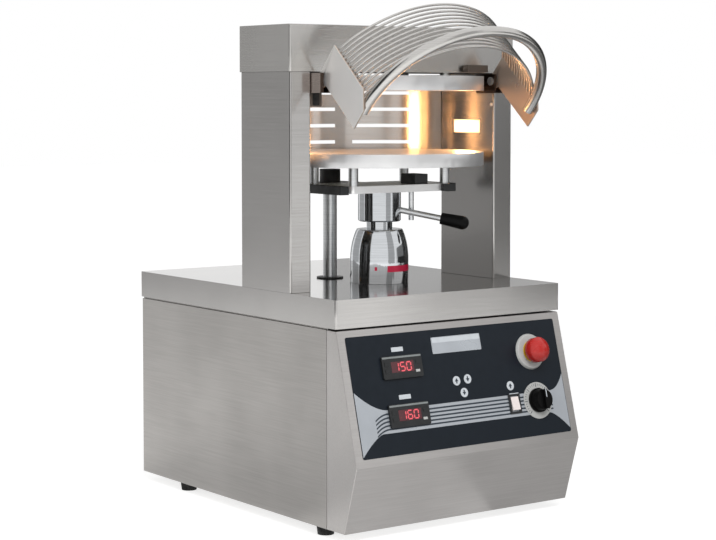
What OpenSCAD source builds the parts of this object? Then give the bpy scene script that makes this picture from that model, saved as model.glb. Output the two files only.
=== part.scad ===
// Pizza dough press: two round hot plates on a steel cabinet, with a wire guard raised in front.
// Millimetres, +Z up, the controls face -Y. The origin is on the floor, under the middle of the part.

/* [Hot plates] */
// Diameter of both hot plates
platen_d = 350; // [300:1:400]
// Thickness of the lower plate
lower_platen_t = 22; // [20:0.5:28]
// Thickness of the upper plate
upper_platen_t = 24; // [20:0.5:30]
// Open height between the plates
daylight = 102; // [90:1:130]
// Height of the lower plate's underside above the worktop
lower_platen_up = 198; // [185:1:230]
// Side gap between a plate and an upright
platen_side_gap = 15; // [12:0.5:30]
// Distance of the press axis behind the worktop's front face
press_setback = 195; // [180:1:230]
// Diameter of the tubular heating element
heater_d = 8; // [6:0.5:9]
// Thickness of the insulation board behind each plate
insulation_t = 4; // [3:0.5:5]

/* [Cabinet] */
// Depth of the worktop
body_d = 600; // [570:1:680]
// Height of the worktop above the floor
worktop_h = 375; // [360:1:450]
// Height of the worktop's folded skirt
skirt_h = 45; // [35:1:55]
// Thickness of the worktop sheet
cap_t = 2; // [1.5:0.1:3]
// Thickness of the cabinet sheets
sheet_t = 1.5; // [1:0.1:2]
// Shadow gap between the skirt and the cabinet
shadow_gap = 3; // [2:0.5:6]
// Depth of the front module behind the worktop's front face
module_d = 27; // [22:1:34]
// How far the nose of the front stands out
nose_out = 53; // [35:1:65]
// Height of the nose as a share of the cabinet's height
nose_share = 0.343; // [0.29:0.001:0.385]
// How far the lower edge of the front stands out
chin_out = 21; // [10:1:30]
// Diameter of a foot
foot_d = 30; // [24:1:36]
// Height of a foot
foot_h = 15; // [10:1:25]

/* [Uprights and header] */
// Width of an upright
upright_w = 40; // [38:1:50]
// Depth of an upright and of the header
upright_d = 144; // [136:1:170]
// Wall of an upright
upright_t = 2; // [1.5:0.1:3]
// Height of the header box
header_h = 75; // [70:1:100]
// Overhang of the header over the uprights
header_lip = 2; // [1.8:0.1:3]
// Diameter of the tie rods inside the uprights
tie_d = 16; // [12:1:18]
// Thickness of the press beams
beam_t = 40; // [30:1:45]

/* [Carrier and ram] */
// Side margin of the carrier plate past the stand-offs
carrier_side = 8.5; // [8:0.5:20]
// Front and rear margin of the carrier plate past the stand-offs
carrier_front = 9; // [8:0.5:14]
// Thickness of the carrier plate
carrier_t = 12; // [8:0.5:16]
// Height of the stand-offs
standoff_h = 32; // [26:1:36]
// Diameter of a stand-off
standoff_d = 16; // [12:0.5:20]
// Diameter of the ram
ram_d = 44; // [40:1:46]
// Diameter of the ram's shank inside the collar
shank_d = 36; // [30:1:38]
// Diameter of the thickness collar
collar_d = 73; // [66:1:80]
// Height of the thickness collar
collar_h = 51; // [44:1:54]
// Bare ram between collar and bell
neck_h = 13; // [9:0.5:16]
// Diameter of the bell cover at its base
bell_base_d = 99; // [92:1:110]
// Diameter of the bell cover at its top
bell_top_d = 78; // [70:1:84]
// Diameter of the guide rod
guide_d = 24; // [18:1:26]

/* [Lever] */
// Diameter of the lever rod
lever_d = 10; // [8:0.5:12]
// Reach of the lever from the press axis to the end of its grip
lever_reach = 154; // [130:1:160]
// Length of the grip
grip_l = 48; // [40:1:60]
// Diameter of the grip at its thick end
grip_d = 23; // [18:0.5:28]

/* [Guard] */
// Angle by which the guard is raised
guard_open = 48; // [40:1:52]
// Number of guard wires
wire_n = 13; // [8:1:13]
// Diameter of a guard wire
wire_d = 4; // [3:0.5:5]
// Forward bow of the wires
wire_bow = 112; // [95:1:125]
// Diameter of the handle tube
handle_d = 17; // [12:0.5:18]
// Straight length of the handle tube on each side plate
handle_leg_l = 6; // [4:0.5:20]
// Thickness of the guard's side plates
guard_t = 3; // [2:0.1:4]

/* [Controls] */
// Diameter of the stop button's head
stop_d = 41; // [34:1:44]
// Diameter of the stop button's base
stop_base_d = 60; // [54:1:66]
// Diameter of the timer knob
knob_d = 40; // [34:1:44]
// Diameter of the timer's dial
dial_d = 60; // [52:1:64]
// Width of a temperature controller's bezel
bezel_w = 78; // [72:1:84]
// Height of a temperature controller's bezel
bezel_h = 36; // [32:1:40]
// Width of the lamp lenses
lens_w = 68; // [50:1:72]
// Height of the lamp lenses
lens_h = 22; // [16:0.5:28]

/* [Hidden] */
$fn = 96;

// Overrun of every cut, and the clearances that all fits share
cut = 1;
run_gap = 0.05;
side_gap = 0.3;

// Heights above the floor
platen_r = platen_d / 2;
stud_h = 6;
carrier_z = worktop_h + lower_platen_up - standoff_h - carrier_t;
lower_z = worktop_h + lower_platen_up;
upper_z = lower_z + lower_platen_t + daylight;
upright_top = upper_z + upper_platen_t + stud_h;
cab_z1 = worktop_h - skirt_h - shadow_gap;
beam_z = worktop_h - cap_t - beam_t;
collar_z = carrier_z - collar_h;
bell_h = collar_z - neck_h - worktop_h;

// Widths from the middle plane
gap_half = platen_r + platen_side_gap;
half_w = gap_half + upright_w;
panel_inset = 1.5;
cab_x = half_w - panel_inset;
riser_inset = 2.5;
riser_x = half_w - cap_t - riser_inset;

// Depths behind the worktop's front face
upright_y0 = press_setback - upright_d / 2;
upright_y1 = press_setback + upright_d / 2;
back_inset = 3;
back_y = body_d - back_inset;
corner_r = 3;

// Sheet folds and cabinet details
floor_flange = 40;
end_flange = 15;
pan_lip = 20;
pan_x = cab_x - sheet_t - side_gap;
pan_y0 = module_d + sheet_t + side_gap;
pan_y1 = back_y - 2 * sheet_t - side_gap;
pan_z = foot_h + sheet_t;
seam_gap = 0.8;
foot_x = cab_x - floor_flange / 2;
foot_front_y = module_d + foot_d;
foot_rear_inset = 125;
foot_taper = 4;
vent_w = 46;
vent_h = 4;
vent_pitch = 11;
vent_step = 62;
vent_rows = 9;
vent_cols = 4;
vent_top_drop = 60;
gland_d = 22;
gland_l = 14;
gland_flange_t = 2;
gland_flange_d = 30;
gland_bore_d = 9;
gland_inset = 76.7;
gland_x = pan_x - gland_inset;
gland_up = 60;

// Front profile: the panel slopes out to the nose, then the chin slopes back
panel_top = [panel_inset, cab_z1];
panel_nose = [-nose_out, foot_h + (cab_z1 - foot_h) * nose_share];
panel_chin = [-chin_out, foot_h];
panel_run = norm(panel_nose - panel_top);
panel_tilt = atan2(panel_top[0] - panel_nose[0], panel_top[1] - panel_nose[1]);

// Press frame inside the uprights
tie_x = gap_half + upright_w / 2 - corner_r;
tie_y = 52;
tie_nut_h = 13;
tie_nut_share = 1.7;
tie_nut_d = tie_d * tie_nut_share;
beam_half = tie_x + tie_nut_d / 2 + side_gap;
header_t = 1.5;

// Hot plates: a recess behind each plate holds element and insulation round four bosses
rim_w = 25;
recess_r = platen_r - rim_w;
recess_t = heater_d + insulation_t;
heater_rim = 8;
heater_r = recess_r - heater_rim - heater_d / 2;
boss_d = 24;
post_gap = 11.7;
post_deg = 30.5;
post_r = heater_r - heater_d / 2 - boss_d / 2 - post_gap;
post_x = post_r * cos(post_deg);
post_y = post_r * sin(post_deg);

// Rear guard: a curved sheet with slots, about the press axis
rear_gap = 28;
rear_r = platen_r + rear_gap;
rear_foot_x = sqrt(pow(rear_r, 2) - pow(upright_d / 2, 2));
rear_flange_w = 25;
rear_lift = 2.5;
rear_z0 = lower_z + rear_lift;
rear_z1 = upright_top - cap_t;
slot_h = 6;
slot_rows = 4;
slot_pitch = 29;
slot_first = 31;
slot_fans = [[-52, -23], [-14, 14], [23, 52]];

// Lamps in the inner faces of the uprights
lens_up = 261;
lens_proud = 1;
lamp_rim = 5;
lamp_depth = 14;
lamp_wall = 2;

// Guard hinge brackets on the uprights
guard_out = 10;
plate_x1 = gap_half - guard_out;
plate_x0 = plate_x1 - guard_t;
bracket_clear = 3;
bracket_t = 3.5;
cheek_x1 = plate_x0 - bracket_clear;
cheek_x0 = cheek_x1 - bracket_t;
slot_x1 = plate_x1 + bracket_clear;
bracket_platen_gap = 8.56;
bracket_back = sqrt(pow(platen_r + bracket_platen_gap, 2) - pow(cheek_x0, 2));
bracket_y1 = press_setback - bracket_back;
bracket_web = 6.5;
bracket_front = 9;
bracket_below = 20;
bracket_above = 12;
bracket_tail = 38;
bracket_tail_t = 4;
ear_r = 12;
ear_clear = 1.5;
pin_d = 8;
pin_head_d = 14;
pin_head_t = 2.5;
hinge_drop = 14;
hinge_y = bracket_y1 - bracket_web - ear_clear - ear_r;
hinge_z = upright_top - hinge_drop;

// Guard outline when closed: distances ahead of the hinge and above it
guard_top_up = 12;
guard_front_out = 63;
guard_front_down = 91;
guard_low_out = 38;
guard_heel_out = 1;
guard_heel_down = 114;
handle_wall = 1.5;
handle_swell = 0.1;
handle_lap = 0.5;
handle_down = 104;
handle_z = hinge_z - handle_down;
handle_x = plate_x0 - (handle_d + handle_swell) / 2;
handle_start_out = 28;
handle_corner_in = 8.45;
handle_bow = 0.51;
handle_corner_r = handle_x - handle_corner_in;
handle_corner_y = hinge_y - handle_start_out - handle_leg_l;
handle_apex_y = handle_corner_y - handle_corner_r - handle_bow;
handle_front_deg = 2 * atan(handle_bow / handle_corner_in);
handle_front_r = handle_corner_r + handle_corner_in / sin(handle_front_deg);
wire_margin = 1;
wire_top_up = guard_top_up - wire_margin - wire_d / 2;
wire_handle_gap = 0.5;
wire_low_down = handle_down - (handle_d + wire_d) / 2 - wire_handle_gap;
wire_pitch = (wire_top_up + wire_low_down) / (wire_n - 1);
wire_setback = 20;
wire_y = hinge_y - guard_front_out + wire_setback;
wire_r = (pow(plate_x0, 2) + pow(wire_bow, 2)) / (2 * wire_bow);
wire_half_deg = asin(plate_x0 / (wire_r + wire_d / 2));

// The raised handle is the foremost point and the worktop's back the rearmost: the origin lies between
apex_out = hinge_y - handle_apex_y;
front_y = hinge_y - apex_out * cos(guard_open) - handle_down * sin(guard_open) - handle_d / 2;
mid_y = (front_y + body_d) / 2;

// Carrier, collar and lever
carrier_w = 2 * (post_x + carrier_side);
carrier_d = 2 * (post_y + carrier_front);
carrier_r = 6;
block_w = 17;
block_d = 112;
block_drop = 2;
tab_w = 23;
tab_d = 8;
terminal_w = 27;
terminal_d = 40;
terminal_h = 17;
terminal_x = 44;
ram_bottom_up = 60;
collar_chamfer = 2;
lever_turn = -45;
lever_fall = 11;
lever_socket = 12;
lever_start = collar_d / 2 - lever_socket;
lever_end = lever_reach - grip_l;
grip_neck_share = 0.85;
lever_up_share = 0.5;
lever_z = collar_z + collar_h * lever_up_share;
stop_pin_d = 9;
stop_pin_l = 50;
stop_pin_out = 54;
stop_pin_lag = 15;

// Bell cover, bush and guide
bell_wall = 3;
bell_skirt_h = 40;
bell_drop_x = (bell_base_d - bell_top_d) / 2;
bush_wall = 8;
bush_r = ram_d / 2 + bush_wall;
bush_flange_gap = 1;
bush_flange_r = bell_base_d / 2 - bell_wall - bush_flange_gap;
bush_flange_h = 8;
guide_x = -27;
guide_back = 106;
guide_y = press_setback + guide_back;
guide_flange_d = 46;
guide_flange_t = 2.5;
guide_bush_wall = 4;
guide_bush_l = 60;
guide_down = 160;
guide_hub_d = 36;
guide_hub_up = 22;
arm_x0 = -64;
arm_x1 = 12;
arm_back = 18;

// Screw drive below the worktop
bearing_t = 20;
bearing_r = 50;
nut_wall = 10;
nut_hub_r = ram_d / 2 + nut_wall;
pulley_t = 30;
pulley_r = 55;
pulley_rim = 3;
pulley_rim_t = 3;
pulley_z = beam_z - bearing_t - side_gap - pulley_t;
motor_inset = 116.7;
motor_x = pan_x - motor_inset;
motor_back = 200;
motor_y = press_setback + motor_back;
motor_r = 55;
motor_plate_t = 6;
gearbox_h = 50;
gearbox_gap = 10;
gearbox_z1 = pulley_z - gearbox_gap;
motor_shaft_d = 16;
motor_pulley_r = 22;
belt_t = 3;
belt_gap = 0.4;
box_inset = 36.7;
box_w = 130;
box_x0 = box_inset - pan_x;
box_y0 = 70;
box_y1 = 190;
box_h = 120;

// Controls on the sloping panel: x across, s down the slope from its top edge
overlay_t = 0.6;
overlay_inset = 14.5;
overlay_w = 2 * (cab_x - overlay_inset);
overlay_s0 = 11;
overlay_low = 12.1;
overlay_s1 = panel_run - overlay_low;
overlay_r = 3;
thermo_inset = 99;
thermo_x = thermo_inset - overlay_w / 2;
thermo_s = [0.304, 0.66] * panel_run;
thermo_proud = 4;
thermo_body_w = 70;
thermo_body_h = 28;
thermo_body_d = 55;
window_w = 44;
window_h = 17;
window_t = 0.8;
stop_inset = 62;
stop_x = overlay_w / 2 - stop_inset;
stop_s_share = 0.2923;
stop_s = panel_run * stop_s_share;
stop_base_t = 5;
stop_stem_d = 22;
stop_stem_l = 24;
stop_plunger_d = 16;
stop_lift = 8;
stop_head_t = 25;
stop_skirt_t = 13;
timer_x = stop_x;
timer_s_share = 0.6742;
timer_s = panel_run * timer_s_share;
dial_t = 1;
timer_body_d = 45;
timer_body_l = 32;
timer_shaft_d = 6;
timer_shaft_l = 16;
knob_gap = 0.4;
knob_h = 18;
knob_skirt_h = 4;
knob_ridge_w = 7;
knob_ridge_h = 5;
rocker_inset = 112;
rocker_x = overlay_w / 2 - rocker_inset;
rocker_s_share = 0.6789;
rocker_s = panel_run * rocker_s_share;
frame_w = 24;
frame_h = 32;
frame_t = 2;
frame_open_w = 16;
frame_open_h = 25;
frame_body_l = 18;
frame_floor = 3;
rocker_w = 15.2;
rocker_l = 21.6;
rocker_up = 3.5;
rocker_down = 6.5;
rocker_pivot = 2.5;
rocker_tilt = 7;
switch_w = 44;
switch_h = 12;
switch_t = 12;
switch_inset = 47;
switch_x = gap_half - switch_inset;
switch_up = 1;
plunger_d = 5;
plunger_l = 4;
screw_d = 7;
screw_h = 2;
screw_rows = 3;
screw_margin = 40;
bracket_screw_drop = 53;
bracket_screw_y = 6;

// Small helpers
module block(low, high) { translate(low) cube(high - low); }
module both_sides() {
    children();
    mirror([1, 0, 0]) children();
}
module four_corners(x, y) { for (sx = [-1, 1], sy = [-1, 1]) translate([sx * x, sy * y, 0]) children(); }
module on_axis(z) { translate([0, press_setback, z]) children(); }
module placed() { translate([0, -mid_y, 0]) children(); }
module ring(r_out, r_in, h) {
    difference() {
        cylinder(r = r_out, h = h);
        translate([0, 0, -cut]) cylinder(r = r_in, h = h + 2 * cut);
    }
}
module rounded(w, d, r) {
    square([w - 2 * r, d], center = true);
    square([w, d - 2 * r], center = true);
    four_corners(w / 2 - r, d / 2 - r) circle(r = r);
}
// A frame on the sloping panel: x right, y up the slope, z outwards
module on_panel(x, s) {
    along = s / panel_run;
    point = panel_top + (panel_nose - panel_top) * along;
    translate([x, point[0], point[1]]) rotate([90 - panel_tilt, 0, 0]) children();
}
// Draws the closed guard raised about its hinge
module raised() {
    translate([0, hinge_y, hinge_z]) rotate([-guard_open, 0, 0])
        translate([0, -hinge_y, -hinge_z]) children();
}
// Moves every edge of an outline inwards by t
function edge_normal(a, b) = [b[1] - a[1], a[0] - b[0]] / norm(b - a);
function inset(pts, t) = [
    for (i = [0:len(pts) - 1])
        let (before = edge_normal(pts[(i + len(pts) - 1) % len(pts)], pts[i]),
             after = edge_normal(pts[i], pts[(i + 1) % len(pts)]))
        pts[i] - t * (before + after) / (1 + before * after)
];
// Extrudes an outline of (y, z) points along x
module along_x(x0, x1) {
    translate([x0, 0, 0]) rotate([90, 0, 90]) linear_extrude(x1 - x0) children();
}

// Cabinet
module base_pan() {
    color("#9c9c99") placed() difference() {
        block([-pan_x, pan_y0, pan_z], [pan_x, pan_y1, pan_z + pan_lip]);
        block([-pan_x + sheet_t, pan_y0 + sheet_t, pan_z + sheet_t],
              [pan_x - sheet_t, pan_y1 - sheet_t, pan_z + pan_lip + cut]);
    }
}
module side_panel() {
    riser_in = riser_x - sheet_t;
    block([cab_x - sheet_t, module_d, foot_h], [cab_x, back_y, cab_z1]);
    block([riser_in, module_d, cab_z1 - sheet_t], [cab_x, back_y, cab_z1]);
    block([riser_in, module_d, cab_z1 - sheet_t], [riser_x, back_y, worktop_h - cap_t]);
    block([cab_x - floor_flange, module_d, foot_h], [cab_x, back_y, foot_h + sheet_t]);
    for (y = [module_d, back_y - sheet_t])
        block([cab_x - end_flange, y, foot_h], [cab_x, y + sheet_t, cab_z1]);
}
module right_side_panel() { color("#a6a4a1") placed() side_panel(); }
module left_side_panel() { color("#a6a4a1") placed() mirror([1, 0, 0]) side_panel(); }
module back_panel() {
    back_z1 = cab_z1 - sheet_t - side_gap;
    color("#a6a4a1") placed() difference() {
        block([-pan_x, back_y - 2 * sheet_t, pan_z], [pan_x, back_y - sheet_t, back_z1]);
        for (row = [0:vent_rows - 1], col = [0:vent_cols - 1])
            translate([(col - (vent_cols - 1) / 2) * vent_step, back_y - 2 * sheet_t - cut,
                       back_z1 - vent_top_drop - row * vent_pitch])
                translate([-vent_w / 2, 0, 0]) cube([vent_w, sheet_t + 2 * cut, vent_h]);
        gland_place() cylinder(d = gland_d + 2 * side_gap, h = 2 * (sheet_t + cut), center = true);
    }
}
module front_fascia() {
    outline = [[module_d - seam_gap, cab_z1], panel_top, panel_nose, panel_chin,
               [module_d - seam_gap, foot_h]];
    hollow = inset(outline, sheet_t);
    open_back = [[module_d + cut, hollow[0][1]], hollow[1], hollow[2], hollow[3],
                 [module_d + cut, hollow[4][1]]];
    color("#aaa8a5") placed() difference() {
        along_x(-cab_x, cab_x) polygon(outline);
        along_x(-cab_x + sheet_t, cab_x - sheet_t) polygon(open_back);
        panel_cuts(sheet_t);
    }
}
module panel_cuts(depth) {
    deep = depth + 2 * cut;
    for (s = thermo_s)
        on_panel(thermo_x, s) translate([0, 0, -depth / 2])
            cube([thermo_body_w + 2 * side_gap, thermo_body_h + 2 * side_gap, deep], center = true);
    on_panel(stop_x, stop_s) translate([0, 0, -depth / 2])
        cylinder(d = stop_stem_d + 2 * side_gap, h = deep, center = true);
    on_panel(timer_x, timer_s) translate([0, 0, -depth / 2])
        cylinder(d = timer_body_d + 2 * side_gap, h = deep, center = true);
    on_panel(rocker_x, rocker_s) translate([0, 0, -depth / 2])
        cube([frame_w - 2 * frame_t, frame_h - 2 * frame_t, deep] + [2, 2, 0] * side_gap, center = true);
}
module worktop_cap() {
    color("#b4b2af") placed() difference() {
        translate([0, body_d / 2, worktop_h - skirt_h])
            linear_extrude(skirt_h) rounded(2 * half_w, body_d, corner_r);
        block([-half_w + cap_t, cap_t, worktop_h - skirt_h - cut],
              [half_w - cap_t, body_d - cap_t, worktop_h - cap_t]);
        on_axis(worktop_h - cap_t - cut) {
            cylinder(r = bush_r + side_gap, h = cap_t + 2 * cut);
            four_corners(tie_x, tie_y) cylinder(d = tie_d + 2 * side_gap, h = cap_t + 2 * cut);
        }
        translate([guide_x, guide_y, worktop_h - cap_t - cut])
            cylinder(r = guide_d / 2 + guide_bush_wall + side_gap, h = cap_t + 2 * cut);
    }
}
module feet() {
    color("#1c1c1c") placed()
        both_sides() for (y = [foot_front_y, back_y - foot_rear_inset])
            translate([foot_x, y, 0]) cylinder(d1 = foot_d - foot_taper, d2 = foot_d, h = foot_h);
}

// Uprights, header and the press frame inside them
module upright() {
    difference() {
        translate([gap_half + upright_w / 2, press_setback, worktop_h]) difference() {
            linear_extrude(upright_top - worktop_h) rounded(upright_w, upright_d, corner_r);
            translate([0, 0, -cut]) linear_extrude(upright_top - worktop_h + 2 * cut)
                square([upright_w - 2 * upright_t, upright_d - 2 * upright_t], center = true);
        }
        translate([gap_half + upright_t / 2, press_setback, worktop_h + lens_up])
            cube([upright_t + 2 * cut, lens_w + 2 * side_gap, lens_h + 2 * side_gap], center = true);
    }
}
module right_upright() { color("#8f8e8b") placed() upright(); }
module left_upright() { color("#8f8e8b") placed() mirror([1, 0, 0]) upright(); }
module header_box() {
    outer_w = 2 * (half_w + header_lip);
    outer_d = upright_d + 2 * header_lip;
    color("#979593") placed() on_axis(upright_top) difference() {
        linear_extrude(header_h) rounded(outer_w, outer_d, corner_r);
        translate([0, 0, -cut]) linear_extrude(header_h - header_t + cut)
            square([outer_w - 2 * header_t, outer_d - 2 * header_t], center = true);
    }
}
module tie_rods() {
    color("#8a8a8a") placed() on_axis(beam_z - tie_nut_h)
        four_corners(tie_x, tie_y) cylinder(d = tie_d, h = upright_top + beam_t - beam_z + 2 * tie_nut_h);
}
module tie_nuts() {
    color("#77777a") placed() on_axis(0) four_corners(tie_x, tie_y)
        for (z = [beam_z - tie_nut_h, upright_top + beam_t]) translate([0, 0, z]) difference() {
            cylinder(d = tie_nut_d, h = tie_nut_h, $fn = 6);
            translate([0, 0, -cut]) cylinder(r = tie_d / 2 + run_gap, h = tie_nut_h + 2 * cut);
        }
}
module top_beam() {
    color("#6d6d6d") placed() on_axis(upright_top) difference() {
        linear_extrude(beam_t) rounded(2 * half_w, upright_d, corner_r);
        translate([0, 0, -cut]) four_corners(tie_x, tie_y)
            cylinder(r = tie_d / 2 + run_gap, h = beam_t + 2 * cut);
    }
}
module bottom_beam() {
    color("#6d6d6d") placed() on_axis(beam_z) difference() {
        linear_extrude(beam_t) rounded(2 * beam_half, upright_d, corner_r);
        translate([0, 0, -cut]) {
            four_corners(tie_x, tie_y) cylinder(r = tie_d / 2 + run_gap, h = beam_t + 2 * cut);
            cylinder(r = bush_r + run_gap, h = beam_t + 2 * cut);
        }
    }
}

// Hot plates: drawn face up, with the recess below
module platen(t) {
    difference() {
        cylinder(r = platen_r, h = t);
        translate([0, 0, -cut]) difference() {
            cylinder(r = recess_r, h = recess_t + cut);
            four_corners(post_x, post_y) cylinder(d = boss_d, h = recess_t + cut);
        }
    }
}
module heater() {
    translate([0, 0, recess_t - heater_d / 2])
        rotate_extrude() translate([heater_r, 0]) circle(d = heater_d);
}
module insulation() {
    difference() {
        cylinder(r = recess_r - side_gap, h = insulation_t);
        translate([0, 0, -cut]) four_corners(post_x, post_y)
            cylinder(d = boss_d + 2 * side_gap, h = insulation_t + 2 * cut);
    }
}
module face_down() { on_axis(upper_z + upper_platen_t) mirror([0, 0, 1]) children(); }
module upper_platen() { color("#c2c2c4") placed() face_down() platen(upper_platen_t); }
module upper_heater() { color("#5a5048") placed() face_down() heater(); }
module upper_insulation() { color("#d8d4c8") placed() face_down() insulation(); }
module upper_studs() {
    color("#b0b0b2") placed() on_axis(upper_z + upper_platen_t)
        four_corners(post_x, post_y) cylinder(d = standoff_d, h = stud_h);
}
module lower_platen() { color("#c2c2c4") placed() on_axis(lower_z) platen(lower_platen_t); }
module lower_heater() { color("#5a5048") placed() on_axis(lower_z) heater(); }
module lower_insulation() { color("#d8d4c8") placed() on_axis(lower_z) insulation(); }

// Rear guard, lamps and the brackets of the front guard
module rear_guard() {
    height = rear_z1 - rear_z0;
    color("#b7b6b3") placed() {
        on_axis(rear_z0) difference() {
            intersection() {
                ring(rear_r + sheet_t, rear_r, height);
                block([-half_w, upright_d / 2, -cut], [half_w, rear_r + 2 * sheet_t, height + cut]);
            }
            for (row = [0:slot_rows - 1], fan = slot_fans)
                translate([0, 0, slot_first + row * slot_pitch - slot_h / 2])
                    rotate([0, 0, 90 + fan[0]]) rotate_extrude(angle = fan[1] - fan[0])
                        translate([rear_r - cut, 0]) square([sheet_t + 2 * cut, slot_h]);
        }
        both_sides() block([rear_foot_x, upright_y1, rear_z0],
                           [rear_foot_x + rear_flange_w, upright_y1 + sheet_t, rear_z1]);
    }
}
module at_lamps() {
    placed() both_sides() translate([gap_half, press_setback, worktop_h + lens_up]) children();
}
module lamp_lenses() {
    color("#ffd9a0") at_lamps()
        translate([(upright_t - lens_proud) / 2, 0, 0])
            cube([upright_t + lens_proud, lens_w, lens_h], center = true);
}
module lamp_housings() {
    outer = [lamp_depth, lens_w + 2 * lamp_rim, lens_h + 2 * lamp_rim];
    color("#50504e") at_lamps() translate([upright_t + lamp_depth / 2, 0, 0]) difference() {
        cube(outer, center = true);
        translate([-lamp_wall, 0, 0])
            cube([lamp_depth, lens_w - 2 * lamp_wall, lens_h - 2 * lamp_wall], center = true);
    }
}
module hinge_bracket() {
    low = hinge_z - bracket_below;
    high = hinge_z + bracket_above;
    difference() {
        union() {
            block([cheek_x0, hinge_y - bracket_front, low], [gap_half, bracket_y1, high]);
            block([gap_half - bracket_tail_t, bracket_y1 - cut, low],
                  [gap_half, bracket_y1 + bracket_tail, high]);
        }
        block([cheek_x1, hinge_y - bracket_front - cut, low - cut],
              [slot_x1, bracket_y1 - bracket_web, high + cut]);
        translate([cheek_x0 - cut, hinge_y, hinge_z]) rotate([0, 90, 0])
            cylinder(r = pin_d / 2 + run_gap, h = gap_half - cheek_x0 - bracket_tail_t);
    }
}
module hinge_brackets() { color("#7d7b78") placed() both_sides() hinge_bracket(); }
module hinge_pins() {
    color("#c6c6c6") placed() both_sides()
        translate([cheek_x0 - pin_head_t - side_gap, hinge_y, hinge_z]) rotate([0, 90, 0]) {
            cylinder(d = pin_head_d, h = pin_head_t);
            cylinder(d = pin_d, h = gap_half - cheek_x0 + pin_head_t + side_gap - bracket_tail_t - 2 * cut);
        }
}
module guard_switch() {
    front = upright_y0 - header_lip;
    color("#202020") placed() {
        block([switch_x - switch_w / 2, front - switch_t, upright_top + switch_up],
              [switch_x + switch_w / 2, front, upright_top + switch_up + switch_h]);
        translate([switch_x - switch_w / 2, front - switch_t / 2, upright_top + switch_up + switch_h / 2])
            rotate([0, -90, 0]) cylinder(d = plunger_d, h = plunger_l);
    }
}

// Bell cover, bushes and the screw drive
module bell_profile(base_r, top_in, h) {
    round_r = (pow(top_in, 2) + pow(h - bell_skirt_h, 2)) / (2 * top_in);
    intersection() {
        square([base_r, h]);
        union() {
            square([base_r, bell_skirt_h]);
            translate([base_r - round_r, bell_skirt_h]) circle(r = round_r, $fn = 360);
        }
    }
}
module bell_cover() {
    color("#d4d6d8") placed() on_axis(worktop_h) rotate_extrude() difference() {
        bell_profile(bell_base_d / 2, bell_drop_x, bell_h);
        translate([0, -cut]) square([ram_d / 2 + side_gap, bell_h + 2 * cut]);
        translate([0, -cut])
            bell_profile(bell_base_d / 2 - bell_wall, bell_drop_x, bell_h - bell_wall + cut);
    }
}
module ram_bush() {
    color("#a98f54") placed() on_axis(beam_z) difference() {
        union() {
            cylinder(r = bush_r, h = beam_t + cap_t + bush_flange_h);
            translate([0, 0, beam_t + cap_t]) cylinder(r = bush_flange_r, h = bush_flange_h);
        }
        translate([0, 0, -cut])
            cylinder(r = ram_d / 2 + run_gap, h = beam_t + cap_t + bush_flange_h + 2 * cut);
    }
}
module guide_bush() {
    color("#242424") placed() translate([guide_x, guide_y, worktop_h]) difference() {
        union() {
            cylinder(d = guide_flange_d, h = guide_flange_t);
            translate([0, 0, -guide_bush_l]) cylinder(r = guide_d / 2 + guide_bush_wall, h = guide_bush_l);
        }
        translate([0, 0, -guide_bush_l - cut])
            cylinder(r = guide_d / 2 + run_gap, h = guide_bush_l + guide_flange_t + 2 * cut);
    }
}
module nut_bearing() {
    color("#8d8d90") placed() on_axis(beam_z - bearing_t) ring(bearing_r, nut_hub_r + run_gap, bearing_t);
}
module nut_pulley() {
    color("#6f7072") placed() on_axis(pulley_z) difference() {
        union() {
            cylinder(r = nut_hub_r, h = pulley_t + bearing_t);
            cylinder(r = pulley_r, h = pulley_t);
            for (z = [0, pulley_t - pulley_rim_t])
                translate([0, 0, z]) cylinder(r = pulley_r + pulley_rim, h = pulley_rim_t);
        }
        translate([0, 0, -cut]) cylinder(r = ram_d / 2 + run_gap, h = pulley_t + bearing_t + 2 * cut);
    }
}
module motor_pulley() {
    color("#6f7072") placed() translate([motor_x, motor_y, pulley_z]) difference() {
        union() {
            cylinder(r = motor_pulley_r, h = pulley_t);
            for (z = [0, pulley_t - pulley_rim_t])
                translate([0, 0, z]) cylinder(r = motor_pulley_r + pulley_rim, h = pulley_rim_t);
        }
        translate([0, 0, -cut]) cylinder(r = motor_shaft_d / 2 + run_gap, h = pulley_t + 2 * cut);
    }
}
module belt_loop(grow) {
    hull() {
        translate([0, press_setback]) circle(r = pulley_r + belt_gap + grow);
        translate([motor_x, motor_y]) circle(r = motor_pulley_r + belt_gap + grow);
    }
}
module drive_belt() {
    margin = pulley_rim_t + belt_gap;
    color("#191919") placed() translate([0, 0, pulley_z + margin])
        linear_extrude(pulley_t - 2 * margin) difference() {
            belt_loop(belt_t);
            belt_loop(0);
        }
}
module gear_motor() {
    motor_z = pan_z + sheet_t;
    color("#4c5a66") placed() translate([motor_x, motor_y, 0]) {
        block([-motor_r, -motor_r, motor_z], [motor_r, motor_r, motor_z + motor_plate_t]);
        translate([0, 0, motor_z]) cylinder(r = motor_r, h = gearbox_z1 - gearbox_h - motor_z);
        block([-motor_r, -motor_r, gearbox_z1 - gearbox_h], [motor_r, motor_r, gearbox_z1]);
        translate([0, 0, gearbox_z1]) cylinder(d = motor_shaft_d, h = gearbox_gap + pulley_t);
    }
}
module control_box() {
    color("#c9c9c4") placed()
        block([box_x0, box_y0, pan_z + sheet_t], [box_x0 + box_w, box_y1, pan_z + sheet_t + box_h]);
}
module gland_place() {
    translate([gland_x, back_y - sheet_t, foot_h + gland_up]) rotate([-90, 0, 0]) children();
}
module mains_gland() {
    color("#1d1d1d") placed() gland_place() difference() {
        union() {
            translate([0, 0, -gland_l]) cylinder(d = gland_d, h = gland_l);
            cylinder(d = gland_flange_d, h = gland_flange_t);
        }
        translate([0, 0, -gland_l - cut]) cylinder(d = gland_bore_d, h = gland_l + gland_flange_t + 2 * cut);
    }
}

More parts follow.
